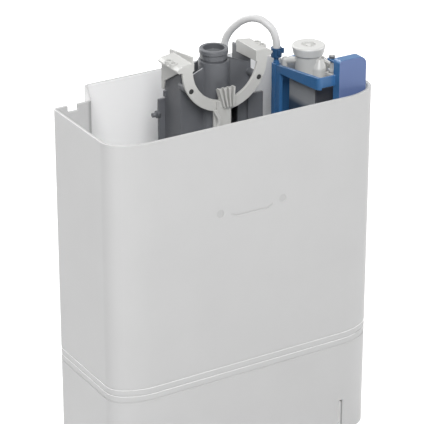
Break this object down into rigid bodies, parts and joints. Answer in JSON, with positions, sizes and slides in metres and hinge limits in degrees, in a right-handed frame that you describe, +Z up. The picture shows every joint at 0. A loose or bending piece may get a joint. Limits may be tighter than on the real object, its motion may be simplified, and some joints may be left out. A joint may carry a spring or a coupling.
{
  "type": "toilet cistern",
  "caption": "Open moulded toilet cistern without its lid: flush valve with overflow tube and two lift rods, float fill valve, supply hose and stop valve.",
  "frame": {"origin": "on the ground plane under the middle of the tank", "axes": "+Z up, +Y from the front face to the wall, +X to the right seen from the front"},
  "size_m": [0.4, 0.215, 0.571],
  "materials": {
    "tank_plastic": "smooth moulded white plastic with a soft sheen",
    "dark_plastic": "dark grey moulded plastic",
    "light_plastic": "light grey moulded plastic",
    "blue_plastic": "blue moulded plastic",
    "white_plastic": "white moulded plastic",
    "float_plastic": "grey blow-moulded plastic",
    "hose_plastic": "pale grey flexible hose",
    "seal_rubber": "black rubber",
    "plated_brass": "plated brass",
    "screw_steel": "plain steel"
  },
  "bodies": {
    "cistern": {"tank": "tank_plastic", "outlet_seal": "seal_rubber", "outlet_nut": "white_plastic", "valve_base": "dark_plastic", "tower_basket": "dark_plastic", "tower_shell": "dark_plastic", "tower_back_plate": "dark_plastic", "bearing_block": "light_plastic", "bearing_screws": "screw_steel", "fill_housing": "blue_plastic", "fill_body": "white_plastic", "fill_body_nut": "white_plastic", "fill_spout": "white_plastic", "fill_cap": "white_plastic", "diaphragm": "seal_rubber", "float_arm_pin": "screw_steel", "hose_nipple": "blue_plastic", "hose_clip": "blue_plastic", "supply_hose": "hose_plastic", "hose_nut": "plated_brass", "stop_valve_body": "plated_brass", "stop_valve_gasket": "seal_rubber", "stop_valve_screws": "screw_steel"},
    "flush_valve": {"overflow_tube": "dark_plastic", "overflow_collar": "dark_plastic", "valve_disc": "dark_plastic", "valve_washer": "seal_rubber", "full_flush_rod": "light_plastic"},
    "part_flush": {"part_flush_rod": "light_plastic", "part_flush_float": "float_plastic"},
    "float": {"fill_float": "float_plastic", "float_rod": "white_plastic", "float_rod_nut": "dark_plastic"},
    "float_lever": {"float_arm": "white_plastic"},
    "stop_knob": {"stop_valve_knob": "blue_plastic"}
  },
  "joints": [
    {"name": "flush_lift", "type": "slide", "parent": "cistern", "child": "flush_valve", "axis": [0, 0, 1], "range_m": [0, 0.012]},
    {"name": "part_flush_lift", "type": "slide", "parent": "cistern", "child": "part_flush", "axis": [0, 0, 1], "range_m": [0, 0.01]},
    {"name": "float_lift", "type": "slide", "parent": "cistern", "child": "float", "axis": [0, 0, 1], "range_m": [0, 0.012]},
    {"name": "float_arm_pivot", "type": "hinge", "parent": "cistern", "child": "float_lever", "pos_m": [0.17575, 0.00801, 0.508], "axis": [-1, 0, 0], "range_deg": [0, 13.76]},
    {"name": "stop_valve_turn", "type": "hinge", "parent": "cistern", "child": "stop_knob", "pos_m": [0.078, 0.066, 0.47], "axis": [0, 1, 0], "range_deg": [0, 90]}
  ],
  "couplings": [
    {"joint": "float_arm_pivot", "follows": "float_lift", "rad_per_m": 20}
  ]
}
